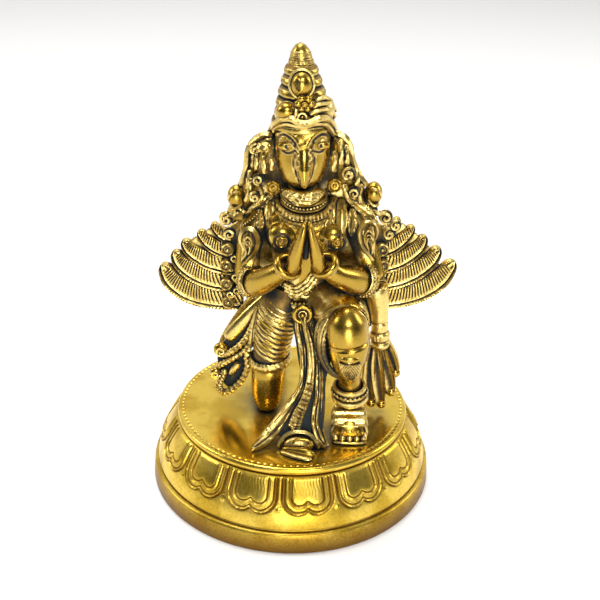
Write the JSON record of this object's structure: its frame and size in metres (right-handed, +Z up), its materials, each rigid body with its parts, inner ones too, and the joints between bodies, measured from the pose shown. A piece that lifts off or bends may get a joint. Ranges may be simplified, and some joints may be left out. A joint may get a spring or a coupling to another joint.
{
  "type": "garuda figure",
  "caption": "Small cast brass garuda kneeling on one knee with palms together, wings spread and a tall tiered crown, fixed on a round plinth ringed with lotus petals.",
  "frame": {"origin": "centre of the round plinth's flat underside", "axes": "+Z up, the figure faces -Y, +X to the right of someone who looks at its face"},
  "size_m": [0.1215, 0.115, 0.1783],
  "materials": {
    "polished_brass": "mirror-polished plate and petals, satin band below them, brown tarnish in the grooves",
    "cast_brass": "hand-finished casting, bright on the raised forms, with dark patina in the recesses"
  },
  "bodies": {
    "root": {"lotus_plinth": "polished_brass", "garuda_figure": "cast_brass"}
  },
  "joints": []
}
